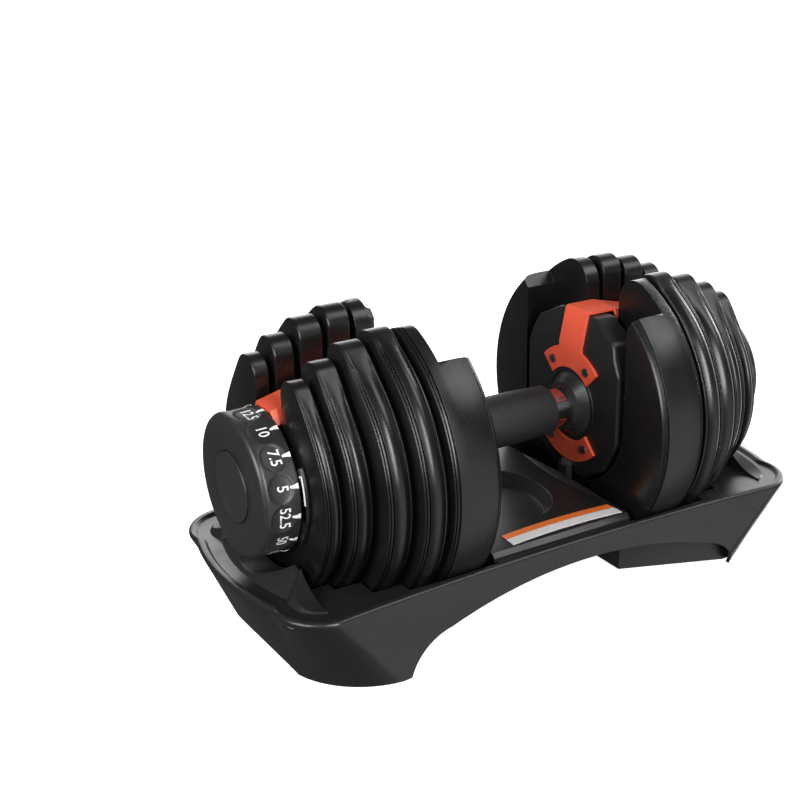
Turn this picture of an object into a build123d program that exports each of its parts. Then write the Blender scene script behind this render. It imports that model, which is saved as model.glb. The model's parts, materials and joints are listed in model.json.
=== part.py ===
from build123d import *
import os
from math import cos, radians, sin

# Selector-dial adjustable dumbbell, docked in its tray. Millimetres.
# X runs along the dumbbell's axis, +Z is up, and the origin is on the ground
# under the middle of the tray. The front of the tray is at -Y.
# Every sub-part is drawn for the +X end and mirrored to the -X end.

# ---- driving dimensions -------------------------------------------------
AXIS_Z = 122.0            # height of the dumbbell's axis above the ground
DIAL_FACE_X = 200.0       # half the length of the dumbbell, dial face to dial face
DIAL_DEPTH = 24.5
DIAL_R = 44.5
CAP_R = 23.5
SETTINGS = 15             # numbers on a dial
PITCH_DEG = 360.0 / SETTINGS

# plates, outermost (smallest) first; plate 5 is the thick one next to the grip
PLATE_R = (74.5, 80.0, 92.0, 99.5, 101.5)
PLATE_THICK = (10.5, 14.0, 16.5, 16.0, 35.0)
PLATE_GAP = 4.0
PLATE_5_X = 64.0          # inner face of the thick plate
THIN_PART = 11.0          # thin outer part of plate 5, which carries its fingers
SLOT_HALF = 18.0          # half width of the slot in every plate
TIP_R = 12.5              # round tip of a finger, beside the slot
TIP_TOP = (72.5, 82.0, 90.5, 95.0)  # top of the finger tips of plates 1 to 4
THICK_TIP_R = 17.0        # rounded finger corner on plate 5
WIDE_SLOT_HALF = 57.0     # half width of the slot for the housing in plate 5
ARM_CUT = (56.0, 70.0)    # a point (y, z) on the slanting top of plate 5's thick arms
ARM_SLANT = 47.0
EDGE_ROUND = 1.3          # small rounding of a cover's edges
COVER_WALL = 2.2
CORE_INSET = 4.5
HUB_R = 31.0              # moulded hub round the slot, inside the steel core

GRIP_HALF = 39.0
GRIP_R_MID = 18.4
GRIP_R_END = 17.2
TUBE_R = 14.0
COLLAR_X = 52.0
COLLAR_R = (17.0, 24.0)
ROD_R = 6.0
ROD_END = 190.0
SLEEVE_R = 10.0
RUNNING = 0.05            # radial clearance of the sleeve on the rod

HOUSING_X = 62.0
HOUSING_DEPTH = 20.0
HOUSING_WALL = 2.5
FACE_WALL = 1.6
BRACKET_T = 2.0
BRIDGE_X = 88.5           # where the bracket's channel starts to slope
BRIDGE_TOP = (69.5, 48.5)  # top of the channel above the axis, inner and outer end
BRIDGE_HALF = (12.5, 10.5)  # half width of its flat top there
BRIDGE_LEAN = 4.5         # how far its sides lean out
BRIDGE_END = 175.2
LEAN_Z = 44.5             # the housing's face leans back above this height from the axis
LEAN_TOP = (67.0, 5.0)    # height from the axis and setback at its top

TAB_R = (25.0, 28.5)      # hook tab on a plate
FLANGE_R = (29.0, 32.0)   # flange of a selector disc
TAB_T = 1.7
WEB_T = 1.5
NOTCH_COUNT = 30
LOCK_RING_R = 24.0
LOCK_TRAVEL = 4.0
LUG_Z = (-46.0, -43.2)     # lock lug when docked, from the axis

RIM_Z = 64.0              # top of the tray's rim
RIM_LIP = 2.5
BEAD_WIDTH = 6.5          # raised bead round the rim
BEAD_HEIGHT = 2.0
TRAY_BOTTOM = 2.0
DECK_Z = 67.0
DECK_X = 56.0             # half length of the deck between the wells
END_WALL_X = 177.0        # end of the wells
TOWER_INSET = 16.0        # foot of a tower's slope, in from the rim
TOWER_RISE = 21.0
RECESS_R = 57.5           # recess in a tower under the dial
WELL_GAP = 0.6
TRAY_WALL = 3.5
ARCH_X = 14.0             # the arches under the long sides are off centre
ARCH_HALF = 138.0
ARCH_TOP = 47.5
LEG_WALL = ((152.0, -72.0), (78.0, -42.0))  # inner wall of a leg, from the skirt to its flat middle
CAVITY_TOP = 50.0
FOOT_AT = (150.0, 56.0)
FOOT_R = 9.0
FOOT_BOSS_R = 13.0

# plates that each setting lifts, lightest setting first, plate 1 to plate 5
CODE = ("", "1", "2", "12", "3", "13", "23", "123",
        "24", "34", "45", "245", "345", "2345", "12345")

MIRROR = Plane.YZ


# ---- helpers --------------------------------------------------------------
def plate_span(number):
    """Inner and outer X of a plate, 1 is outermost."""
    inner = PLATE_5_X
    for index in range(5, number, -1):
        inner += PLATE_THICK[index - 1] + PLATE_GAP
    return inner, inner + PLATE_THICK[number - 1]


def across(x):
    """Drawing plane across the axis at x: sketch X is +Y, sketch Y is +Z from the axis."""
    return Plane(origin=(x, 0, AXIS_Z), x_dir=(0, 1, 0), z_dir=(1, 0, 0))


def slab(face, x0, x1):
    return extrude(across(x0) * face, amount=x1 - x0)


def drum(radius, x0, x1):
    return slab(Circle(radius), x0, x1)


def ring(inner, outer, x0, x1):
    return drum(outer, x0, x1) - drum(inner, x0 - 1, x1 + 1)


def turned(points, round_at=(), radius=1.0):
    """Solid of revolution about the axis from (x, r) points, with some corners rounded."""
    face = make_face(Polyline(*points, close=True))
    if round_at:
        corners = [v for v in face.vertices() for p in round_at
                   if abs(v.X - p[0]) < 1e-3 and abs(v.Y - p[1]) < 1e-3]
        face = fillet(corners, radius)
    drawn = Pos(0, 0, AXIS_Z) * (Plane.XZ * face)
    return revolve(drawn, axis=Axis((0, 0, AXIS_Z), (1, 0, 0)), revolution_arc=360)


def box(x0, x1, y0, y1, z0, z1):
    return Pos((x0 + x1) / 2, (y0 + y1) / 2, (z0 + z1) / 2) * Box(x1 - x0, y1 - y0, z1 - z0)


def sector(inner, outer, centre_deg, half_deg):
    """Ring sector; the angle is 0 at the front (-Y) and 90 at the top."""
    angles = (centre_deg - half_deg, centre_deg, centre_deg + half_deg)

    def at(radius, angle):
        return (-radius * cos(radians(angle)), radius * sin(radians(angle)))

    with BuildLine() as outline:
        ThreePointArc(*[at(outer, a) for a in angles])
        Line(at(outer, angles[2]), at(inner, angles[2]))
        ThreePointArc(*[at(inner, a) for a in reversed(angles)])
        Line(at(inner, angles[0]), at(outer, angles[0]))
    return make_face(outline.line)


def save(name, shape):
    export_step(Compound(children=list(shape.solids())), f"parts/{name}.step")


def save_pair(name, shape):
    save(f"{name}_right", shape)
    save(f"{name}_left", mirror(shape, about=MIRROR))


# ---- weight plates ----------------------------------------------------------
def slot_tool(half):
    return Circle(half) + Pos(0, 75) * Rectangle(2 * half, 150)


def finger_face(radius, tip_top):
    """Disc with a slot open at the top and a raised round finger tip each side of it."""
    middle_y, middle_z = SLOT_HALF + TIP_R, tip_top - TIP_R
    face = Circle(radius) - slot_tool(SLOT_HALF) - Pos(0, middle_z + 50) * Rectangle(2 * middle_y, 100)
    for side in (-1, 1):
        face += Pos(side * middle_y, middle_z) * Circle(TIP_R)
        face += Pos(side * middle_y, middle_z - 8) * Rectangle(2 * TIP_R, 16)
    return face


def thick_finger_face(radius):
    """Disc with a slot open at the top, its two finger corners rounded."""
    face = Circle(radius) - slot_tool(SLOT_HALF)
    corners = face.vertices().sort_by(Axis.Y)[-2:]
    return fillet(corners, THICK_TIP_R)


def turned_profile(lower, arc, upper):
    """Disc turned from (x, r) points: from the axis up one face, over the rim's arc, down the other face."""
    with BuildLine() as outline:
        Polyline((lower[0][0], 0), *lower, arc[0])
        ThreePointArc(*arc)
        Polyline(arc[2], *upper, (upper[-1][0], 0), (lower[0][0], 0))
    drawn = Pos(0, 0, AXIS_Z) * (Plane.XZ * make_face(outline.line))
    return revolve(drawn, axis=Axis((0, 0, AXIS_Z), (1, 0, 0)), revolution_arc=360)


def outer_ribs(radius, x1, k):
    """Two thin ribs where a rim meets the outer face; k scales their width."""
    return [(x1 - 3.6 * k, radius - 2.2), (x1 - 3.1 * k, radius - 2.2), (x1 - 2.8 * k, radius - 1.3),
            (x1 - 1.8 * k, radius - 1.6), (x1 - 1.6 * k, radius - 2.7), (x1 - 1.2 * k, radius - 2.7),
            (x1 - k, radius - 2.0), (x1 - 0.4 * k, radius - 2.2), (x1, radius - 2.9)]


def rim_body(radius, x0, x1):
    """Disc with an inner lip, a crowned band and two thin ribs at its outer face."""
    k = min(1.0, (x1 - x0) / 14)
    low, high = x0 + 2.3 * k, x1 - 3.8 * k
    lip = [(x0, radius - 2.4), (x0 + 0.5 * k, radius - 1.9), (x0 + 1.5 * k, radius - 1.9),
           (x0 + 1.7 * k, radius - 2.6), (x0 + 2.0 * k, radius - 2.6)]
    arc = ((low, radius - 1.6), (low + 0.45 * (high - low), radius), (high, radius - 1.1))
    return turned_profile(lip, arc, outer_ribs(radius, x1, k))


def thick_rim_body(radius, x0, x1):
    """Plate 5's disc: bevelled inner edge with a rib, flat band, ribs at its outer face."""
    bevel = [(x0, radius - 4.2), (x0 + 0.4, radius - 3.4), (x0 + 1.0, radius - 3.2), (x0 + 3.2, radius - 1.5),
             (x0 + 3.5, radius - 2.1), (x0 + 3.9, radius - 2.1)]
    arc = ((x0 + 4.2, radius - 0.9), (x0 + 12, radius), (x1 - 3.8, radius - 0.8))
    return turned_profile(bevel, arc, outer_ribs(radius, x1, 1.0))


def finger_tips(number, x0, x1):
    """The raised tips, which stand above the rim and have the full thickness with small edge roundings."""
    middle_y, middle_z = SLOT_HALF + TIP_R, TIP_TOP[number - 1] - TIP_R
    tips = Part()
    for side in (-1, 1):
        outline = Pos(side * middle_y, middle_z) * Circle(TIP_R)
        outline += Pos(side * middle_y, middle_z - 8) * Rectangle(2 * TIP_R, 16)
        tip = slab(outline, x0, x1)
        flats = tip.faces().sort_by(Axis.X)
        tips += fillet(flats[0].edges() + flats[-1].edges(), EDGE_ROUND)
    return tips


def hook_tab(x_face):
    """Tab under the axis, on a plate's face, for the selector flange to lift."""
    return slab(sector(*TAB_R, -90, 9), x_face - TAB_T, x_face)


def weight(number):
    """Moulded cover and steel core of plates 1 to 4; the core shows on the inner face."""
    x0, x1 = plate_span(number)
    radius = PLATE_R[number - 1]
    body = rim_body(radius, x0, x1) & slab(finger_face(radius, TIP_TOP[number - 1]), x0, x1)
    body += finger_tips(number, x0, x1)
    core = slab(Circle(radius - CORE_INSET) - slot_tool(HUB_R), x0, x1 - COVER_WALL)
    return body - core + hook_tab(x0), core


def arm_tops():
    """What is cut away above the slanting tops of plate 5's arms."""
    y, z = ARM_CUT
    rise = sin(radians(ARM_SLANT)) / cos(radians(ARM_SLANT))
    low, high = y - 26, y + 44
    side = make_face(Polyline((low, z - 26 * rise), (high, z + 44 * rise), (low, z + 44 * rise), close=True))
    return side + mirror(side, about=Plane.YZ)


def thick_weight():
    """Plate 5: a thick part with the wide slot, and a thin part with the fingers."""
    x0, x1 = plate_span(5)
    radius = PLATE_R[4]
    split = x1 - THIN_PART
    body = thick_rim_body(radius, x0, x1)
    thick = body & slab(Circle(radius) - slot_tool(WIDE_SLOT_HALF) - arm_tops(), x0, split)
    thin = body & slab(thick_finger_face(radius), split, x1)
    core = slab(Circle(radius - CORE_INSET - 1) - slot_tool(WIDE_SLOT_HALF + 4), x0 + COVER_WALL, x1)
    core -= slab(Pos(0, 64 + 50 - CORE_INSET) * Rectangle(300, 100), x0, x1)
    return thick + thin - core + hook_tab(split), core


# ---- handle -------------------------------------------------------------------
def housing_outline(inset=0.0):
    """Rounded eight-sided outline with flat sides, taller than it is wide."""
    right = [(20, 67), (43, 55), (52, 34), (52, -16), (38, -40), (16, -53)]
    left = [(-y, z) for y, z in reversed(right)]
    face = make_face(Polyline(*right, *left, close=True))
    face = fillet(face.vertices(), 9.0)
    return offset(face, -inset) if inset else face


def lean_side(setback):
    """Everything in front of the housing's face, which leans back near its top."""
    top_z, back = LEAN_TOP
    slope = back / (top_z - LEAN_Z)
    x0, far = HOUSING_X + setback, top_z + 20
    points = [(x0 - 60, AXIS_Z - 120), (x0, AXIS_Z - 120), (x0, AXIS_Z + LEAN_Z),
              (x0 + slope * (far - LEAN_Z), AXIS_Z + far), (x0 - 60, AXIS_Z + far)]
    side = make_face(Polyline(*points, close=True))
    return extrude(Plane.XZ * side, amount=100, both=True)


def inner_housing():
    """Shell open on the plate side, with slide guides, a spring seat and a slot for the lock lug."""
    x0 = HOUSING_X
    x1 = x0 + HOUSING_DEPTH
    solid = slab(housing_outline(), x0 - 5, x1) - lean_side(0)
    flat, leaning = [f for f in solid.faces() if f.normal_at().X < -0.9]
    crease = min(flat.edges(), key=lambda e: abs(e.center().Z - AXIS_Z - LEAN_Z) + abs(e.center().Y))
    outer = [e for e in [*flat.edges(), *leaning.edges()] if (e.center() - crease.center()).length > 0.01]
    solid = fillet(outer, 1.5)
    hollow = slab(housing_outline(HOUSING_WALL), x0 - 5, x1 + 1) - lean_side(FACE_WALL)
    seat = box(x0 + FACE_WALL, x0 + 7, -6, 6, AXIS_Z + LEAN_Z + 0.2, AXIS_Z + 57) - lean_side(FACE_WALL - 0.5)
    guide = box(x0 + FACE_WALL, x0 + 6, 30.4, 32.4, AXIS_Z - 25, AXIS_Z + 38)
    shell = solid - hollow + seat + guide + mirror(guide, about=Plane.XZ)
    shell += face_ring()
    lug_low = AXIS_Z + LUG_Z[0] - LOCK_TRAVEL
    lug_slot = box(x0 - 1, x0 + FACE_WALL + 1, -4.5, 4.5, lug_low - 0.4, AXIS_Z + LUG_Z[1] + 0.3)
    return shell - drum(TUBE_R, x0 - 1, x0 + 4) - lug_slot


def face_ring():
    """Low round step on the housing's face, between the collar and the brackets' crescents."""
    return ring(COLLAR_R[1] + 0.1, 26.5, HOUSING_X - 0.6, HOUSING_X + 0.1)


def housing_back():
    x1 = HOUSING_X + HOUSING_DEPTH
    plate = slab(housing_outline(HOUSING_WALL), x1 - 2.5, x1)
    return plate - drum(SLEEVE_R + 0.5, x1 - 4, x1 + 1)


def screw_places(upper):
    centre = 90 if upper else -90
    return [(-34.5 * cos(radians(centre + s * 33)), 34.5 * sin(radians(centre + s * 33))) for s in (-1, 1)]


def screw_holes(radius, x0, x1, upper):
    holes = Sketch() + [Pos(y, z) * Circle(radius) for y, z in screw_places(upper)]
    return slab(holes, x0, x1)


def channel_section(x, top, half):
    """Hat-shaped cross-section: flat top, sides leaning out."""
    depth = 9.0
    outer = [(-half, top), (half, top), (half + BRIDGE_LEAN, top - depth)]
    inner = [(half + BRIDGE_LEAN - BRACKET_T, top - depth), (half - 1.2, top - BRACKET_T)]
    points = outer + inner + [(-y, z) for y, z in reversed(inner)] + [(-half - BRIDGE_LEAN, top - depth)]
    return across(x) * make_face(Polyline(*points, close=True))


def upper_bracket():
    """Crescent and leaning neck on the housing's face, a bend over its top, and a channel to the dial."""
    half = BRIDGE_HALF[0]
    x0, top_x, top = HOUSING_X - BRACKET_T, HOUSING_X + LEAN_TOP[1], BRIDGE_TOP[0]
    crescent = slab(sector(27, 42.5, 90, 46), x0, HOUSING_X)
    side = [(x0, 40), (x0, LEAN_Z), (top_x - 1.8, top - 1.6), (top_x - 0.6, top), (BRIDGE_X, top),
            (BRIDGE_X, top - BRACKET_T), (top_x + 0.1, top - BRACKET_T), (HOUSING_X, LEAN_Z), (HOUSING_X, 40)]
    strip = Pos(0, 0, AXIS_Z) * (Plane.XZ * make_face(Polyline(*side, close=True)))
    neck = extrude(strip, amount=half, both=True)
    channel = loft([channel_section(BRIDGE_X, top, half), channel_section(BRIDGE_END, BRIDGE_TOP[1], BRIDGE_HALF[1])])
    bracket = crescent + neck + channel
    return bracket - screw_holes(1.7, x0 - 1, HOUSING_X + 1, True)


def lower_bracket():
    plate = slab(sector(27, 42.5, -90, 45), HOUSING_X - BRACKET_T, HOUSING_X)
    return plate - screw_holes(1.7, HOUSING_X - BRACKET_T - 1, HOUSING_X + 1, False)


def bracket_screws():
    """Four screws at one end: a shank in the bracket's hole and a low head with a cross recess."""
    screws = Part()
    for upper in (True, False):
        shank = screw_holes(1.7, HOUSING_X - BRACKET_T, HOUSING_X, upper)
        head = screw_holes(3.1, HOUSING_X - BRACKET_T - 1.1, HOUSING_X - BRACKET_T, upper)
        screws += shank + head
    recess_x = HOUSING_X - BRACKET_T - 1.1
    for upper in (True, False):
        for y, z in screw_places(upper):
            cross = Rectangle(3.2, 0.8) + Rectangle(0.8, 3.2)
            screws -= slab(Pos(y, z) * cross, recess_x - 0.1, recess_x + 0.6)
    return screws


def grip_sleeve():
    """Slightly barrelled grip."""
    with BuildLine() as outline:
        ThreePointArc((-GRIP_HALF, GRIP_R_END), (0, GRIP_R_MID), (GRIP_HALF, GRIP_R_END))
        Line((GRIP_HALF, GRIP_R_END), (GRIP_HALF, TUBE_R))
        Line((GRIP_HALF, TUBE_R), (-GRIP_HALF, TUBE_R))
        Line((-GRIP_HALF, TUBE_R), (-GRIP_HALF, GRIP_R_END))
    face = Pos(0, 0, AXIS_Z) * (Plane.XZ * make_face(outline.line))
    return revolve(face, axis=Axis((0, 0, AXIS_Z), (1, 0, 0)), revolution_arc=360)


def handle_tube():
    end = HOUSING_X + FACE_WALL
    return ring(ROD_R, TUBE_R, -end, end)


def end_collar():
    """Cone from a short cylinder next to the tube out to the housing's face."""
    points = [(COLLAR_X, TUBE_R), (COLLAR_X, COLLAR_R[0]), (COLLAR_X + 4, COLLAR_R[0]),
              (HOUSING_X, COLLAR_R[1]), (HOUSING_X, TUBE_R)]
    return turned(points)


def rod_nuts():
    """Retaining nut at each end of the rod."""
    nut = slab(RegularPolygon(9.5, 6), 184, 188.5) - drum(ROD_R, 183, 190)
    return nut + mirror(nut, about=MIRROR)


def index_plate():
    """Fixed plate behind the dial; an arm holds it to the bracket, a lobe carries the mark."""
    shape = Circle(40) + Pos(0, 42) * Rectangle(18, 8) + sector(30, 51, -12, 24)
    return slab(shape - Circle(SLEEVE_R + 0.5), 172.6, 174.6)


def index_marks():
    """Raised curved mark on each index plate, just outside the dial's edge."""
    mark = slab(sector(46.6, 48.4, -8, 15), 174.6, 175.1)
    return mark + mirror(mark, about=MIRROR)


def lock_springs():
    """Coil spring between each lock slide and its housing's seat."""
    bottom, length, wire = AXIS_Z + 35.2, 9.2, 0.45
    radius, centre_x = 1.8, HOUSING_X + 4.2
    path = Pos(centre_x, 0, bottom + wire) * Helix(pitch=1.6, height=length - 2 * wire, radius=radius)
    start = Plane(origin=path @ 0, z_dir=path % 0)
    spring = sweep(start * Circle(wire), path=path, is_frenet=True)
    return Part() + [spring, mirror(spring, about=MIRROR)]


# ---- dial, selector and lock -----------------------------------------------------
def dial_angle(setting):
    """Where a setting's number sits; setting 0 is at the index, the next ones are above it."""
    return -8 + PITCH_DEG * setting


def tick_wedges(inner_r, outer_r):
    """Fifteen wedges in the dial's rim at its plate-side edge."""
    x0 = DIAL_FACE_X - DIAL_DEPTH
    wedges = Part()
    for setting in range(SETTINGS):
        wedge = make_face(Polyline((x0, -1.7), (x0, 1.7), (x0 + 5.2, 0.6), (x0 + 5.2, -0.6), close=True))
        solid = extrude(Pos(0, 0, inner_r) * wedge, amount=outer_r - inner_r)
        wedges += Pos(0, 0, AXIS_Z) * Rot(90 - dial_angle(setting), 0, 0) * solid
    return wedges


def dial():
    """Cup with a rounded face edge, shallow finger flutes, a hub and pockets for the ticks."""
    x0, x1 = DIAL_FACE_X - DIAL_DEPTH, DIAL_FACE_X
    body = turned([(x0, 0), (x1, 0), (x1, DIAL_R), (x0, DIAL_R)], [(x1, DIAL_R)], 4.0)
    body -= ring(15, DIAL_R - 3, x0 - 1, x1 - 3.5)
    body -= drum(SLEEVE_R, x0 - 1, 182) + drum(12, 182, x1 - 2) + drum(CAP_R, x1 - 2, x1 + 1)
    flute = Circle(26)
    for setting in range(SETTINGS):
        angle = radians(dial_angle(setting))
        reach = DIAL_R + 26 - 0.7
        place = Pos(-reach * cos(angle), reach * sin(angle))
        body -= slab(place * flute, x0 + 6.5, x1 - 5.5)
    return body - tick_wedges(DIAL_R - 0.9, DIAL_R + 1)


def dial_ticks():
    skin = ring(DIAL_R - 2, DIAL_R + 0.1, 170, 190)
    return tick_wedges(DIAL_R - 0.9, DIAL_R + 1) & skin


def dial_cap():
    x1 = DIAL_FACE_X
    return turned([(x1 - 2, 0), (x1 + 0.8, 0), (x1 + 0.8, CAP_R - 0.6), (x1 - 2, CAP_R - 0.6)],
                  [(x1 + 0.8, CAP_R - 0.6)], 0.8)


def selector_sleeve():
    return ring(ROD_R + RUNNING, SLEEVE_R, HOUSING_X + 2, 182)


def selector_disc(number):
    """Disc beside a plate; its flange is cut to the settings that lift that plate."""
    face_x = plate_span(number)[0] if number < 5 else plate_span(5)[1] - THIN_PART
    web_x = face_x - PLATE_GAP + 0.4
    disc = ring(SLEEVE_R, TAB_R[0] - 0.5, web_x, web_x + WEB_T)
    for setting, plates in enumerate(CODE):
        if str(number) in plates:
            angle = -90 + PITCH_DEG * setting
            web = sector(TAB_R[0] - 1, FLANGE_R[1], angle, PITCH_DEG / 2)
            flange = sector(*FLANGE_R, angle, PITCH_DEG / 2)
            disc += slab(web, web_x, web_x + WEB_T)
            disc += slab(flange, web_x, face_x - 0.35)
    return disc


def selector_discs():
    return Part() + [selector_disc(number) for number in range(1, 6)]


def lock_ring():
    """Notched ring on the sleeve; the lock slide's tooth drops into a notch."""
    notches = Sketch()
    for index in range(NOTCH_COUNT):
        angle = index * 360 / NOTCH_COUNT
        notches += Rot(0, 0, angle) * Pos(0, LOCK_RING_R) * Rectangle(2.6, 7.2)
    shape = Circle(LOCK_RING_R) - Circle(SLEEVE_R) - notches
    return slab(shape, HOUSING_X + 2, HOUSING_X + 4.4)


def lock_slide():
    """Frame round the lock ring with a tooth at its top and a lug that the release post lifts."""
    frame = Pos(0, 2) * Rectangle(60, 66) - Pos(0, 1.5) * Rectangle(53, 57)
    frame += Pos(0, 28) * Rectangle(2.2, 6)
    frame += Pos(0, (LUG_Z[0] - 28) / 2) * Rectangle(8, -28 - LUG_Z[0])
    x0 = HOUSING_X + 2.1
    lug = box(HOUSING_X - 4, x0 + 1, -4, 4, AXIS_Z + LUG_Z[0], AXIS_Z + LUG_Z[1])
    return slab(frame, x0, x0 + 2.2) + lug


# ---- tray ---------------------------------------------------------------------------
def tray_outline(half_length, half_width, waist, corner, inset=0.0):
    """Hourglass outline with bowed ends; corner is (x, y) of the corner arc's middle."""
    length, width = half_length - inset, half_width - inset
    waist_y = waist - inset
    cx, cy = corner[0] - 0.75 * inset, corner[1] - 0.75 * inset
    ex, ey = length - 8, cy * 0.68
    sx = cx - (length - cx) * 1.3
    arcs = []
    for s, t in ((1, 1), (-1, -1)):
        arcs.append(ThreePointArc((s * ex, -t * ey), (s * length, 0), (s * ex, t * ey)))
        arcs.append(ThreePointArc((s * ex, t * ey), (s * cx, t * cy), (s * sx, t * width)))
        arcs.append(ThreePointArc((s * sx, t * width), (0, t * waist_y), (-s * sx, t * width)))
        arcs.append(ThreePointArc((-s * sx, t * width), (-s * cx, t * cy), (-s * ex, t * ey)))
    return make_face(arcs)


def rim_outline(inset=0.0):
    return tray_outline(214, 95, 87, (199, 84), inset)


def skirt(inset, z0, z1):
    """Tapered body of the tray between its base and its rim."""
    base = tray_outline(188, 86, 80, (163, 72), inset)
    return loft([Pos(0, 0, z0) * base, Pos(0, 0, z1) * rim_outline(inset)])


def well_radius(number):
    return PLATE_R[number - 1] + WELL_GAP


def well_span(number):
    x0, x1 = plate_span(number)
    low = DECK_X if number == 5 else x0 - PLATE_GAP / 2
    high = END_WALL_X if number == 1 else x1 + PLATE_GAP / 2
    return low, high


def wells(extra=0.0):
    """Round-bottomed well of each plate; extra makes the wall under it."""
    troughs = Part()
    for number in range(1, 6):
        low, high = well_span(number)
        troughs += drum(well_radius(number) + extra, low - extra, high + extra)
    return troughs


def divider_ribs():
    """Low ribs between the plates, standing in the gaps."""
    ribs = Part()
    for number in range(1, 5):
        middle = plate_span(number)[0] - PLATE_GAP / 2
        radius = well_radius(number)
        rib = ring(radius - 9, radius + 8, middle - 1.2, middle + 1.2)
        ribs += rib & box(50, 200, -80, 80, 10, RIM_Z - 8)
    return ribs


def tower():
    """End tower: slopes up from inside the rim, with a horn each side of the dial's recess."""
    with BuildLine() as outline:
        Line((0, -64), (0, -50))
        Line((0, -50), (41, -41))
        ThreePointArc((41, -41), (54, -53), (81, -58.5))
        Line((81, -58.5), (81, -64))
        Line((81, -64), (0, -64))
    half = make_face(outline.line)
    block = slab(half + mirror(half, about=Plane.YZ), END_WALL_X, 214)
    foot, top = RIM_Z - BEAD_HEIGHT - 2, RIM_Z - BEAD_HEIGHT + TOWER_RISE
    slope = loft([Pos(0, 0, foot) * rim_outline(TOWER_INSET - 2), Pos(0, 0, top) * rim_outline(TOWER_INSET + TOWER_RISE)])
    solid = block & slope
    return solid - drum(RECESS_R, END_WALL_X - 1, 215)


def arch_tool():
    """Low wide arch with steep ends, cut through the skirt between the feet."""
    half = ARCH_HALF
    with BuildLine() as outline:
        ThreePointArc((-half, 0), (-half + 8, 17), (-half + 31, 30))
        ThreePointArc((-half + 31, 30), (0, ARCH_TOP), (half - 31, 30))
        ThreePointArc((half - 31, 30), (half - 8, 17), (half, 0))
        Line((half, 0), (half, -5))
        Line((half, -5), (-half, -5))
        Line((-half, -5), (-half, 0))
    through = extrude(Plane.XZ * make_face(outline.line), amount=120, both=True)
    return Pos(ARCH_X, 0, 0) * through - box(-200, 200, LEG_WALL[0][1], -LEG_WALL[0][1], -10, 80)


def end_arch_tool():
    """Shallow arch in the skirt under each end."""
    with BuildLine() as outline:
        ThreePointArc((-46, -5), (0, 24), (46, -5))
        Line((46, -5), (-46, -5))
    face = Plane(origin=(150, 0, 0), x_dir=(0, 1, 0), z_dir=(1, 0, 0)) * make_face(outline.line)
    cut = extrude(face, amount=70)
    return cut + mirror(cut, about=MIRROR)


def leg_walls():
    """Inner wall of each leg: slants in from the skirt's arch, runs across, and slants out again."""
    (ax, ay), (bx, by) = LEG_WALL
    t = TRAY_WALL
    points = [(ax, ay), (bx, by), (bx, -by), (ax, -ay), (ax + 2 * t, -ay), (bx + t, -by - t / 2),
              (bx + t, by + t / 2), (ax + 2 * t, ay)]
    wall = extrude(make_face(Polyline(*points, close=True)), amount=RIM_Z)
    return wall + mirror(wall, about=MIRROR)


def under_cavity():
    """Hollow under the tray, inside the skirt's wall and outside the wells' walls."""
    inner = skirt(TRAY_WALL, TRAY_BOTTOM - 1, RIM_Z - 6)
    inner -= box(-DECK_X - 4, DECK_X + 4, -120, 120, CAVITY_TOP, 80)
    jackets = wells(TRAY_WALL)
    inner -= jackets + mirror(jackets, about=MIRROR)
    inner -= leg_walls()
    for x in (-FOOT_AT[0], FOOT_AT[0]):
        for y in (-FOOT_AT[1], FOOT_AT[1]):
            inner -= Pos(x, y, 0) * Cylinder(FOOT_BOSS_R, 2 * RIM_Z)
    return inner


def deck():
    """Raised deck between the wells."""
    block = box(-DECK_X, DECK_X, -78, 78, CAVITY_TOP, DECK_Z)
    long_edges = block.faces().sort_by(Axis.Z)[-1].edges().filter_by(Axis.X)
    return chamfer(long_edges, 3.0)


def deck_hollow():
    """Oval hollow in the deck with sloping sides, room for the fingers."""
    floor = Pos(0, 0, DECK_Z - 8) * Ellipse(27, 40)
    mouth = Pos(0, 0, DECK_Z + 1) * Ellipse(34, 47)
    return loft([floor, mouth])


def base_tray():
    towers = tower()
    ribs = divider_ribs()
    troughs = wells()
    body = skirt(0, TRAY_BOTTOM, RIM_Z)
    body = fillet(body.faces().sort_by(Axis.Z)[-1].edges(), RIM_LIP)
    channel = loft([Pos(0, 0, RIM_Z - BEAD_HEIGHT) * rim_outline(BEAD_WIDTH + 1.2),
                    Pos(0, 0, RIM_Z + 0.5) * rim_outline(BEAD_WIDTH - 1.4)])
    tray = body - channel + deck()
    tray -= troughs + mirror(troughs, about=MIRROR)
    tray += towers + mirror(towers, about=MIRROR)
    tray -= under_cavity()
    tray += ribs + mirror(ribs, about=MIRROR)
    tray -= arch_tool() + end_arch_tool()
    return tray - deck_hollow() - rubber_feet()


def rubber_feet():
    feet = Part()
    for x in (-FOOT_AT[0], FOOT_AT[0]):
        for y in (-FOOT_AT[1], FOOT_AT[1]):
            feet += Pos(x, y, 2.5) * Cylinder(FOOT_R, 5)
    return feet


def release_posts():
    """Blade beside each well's inner wall that holds the lock slide up when docked."""
    top = AXIS_Z + LUG_Z[0]
    post = box(DECK_X, DECK_X + 5.0, -5, 5, 24, top)
    return post + mirror(post, about=MIRROR)


def info_label():
    """Curved strip on the deck's front."""
    with BuildLine() as outline:
        ThreePointArc((-38, -73), (7.5, -70.5), (53, -73))
        Line((53, -73), (52, -58))
        ThreePointArc((52, -58), (7.5, -55.5), (-37, -58))
        Line((-37, -58), (-38, -73))
    return extrude(Pos(0, 0, DECK_Z) * make_face(outline.line), amount=0.4)


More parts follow.
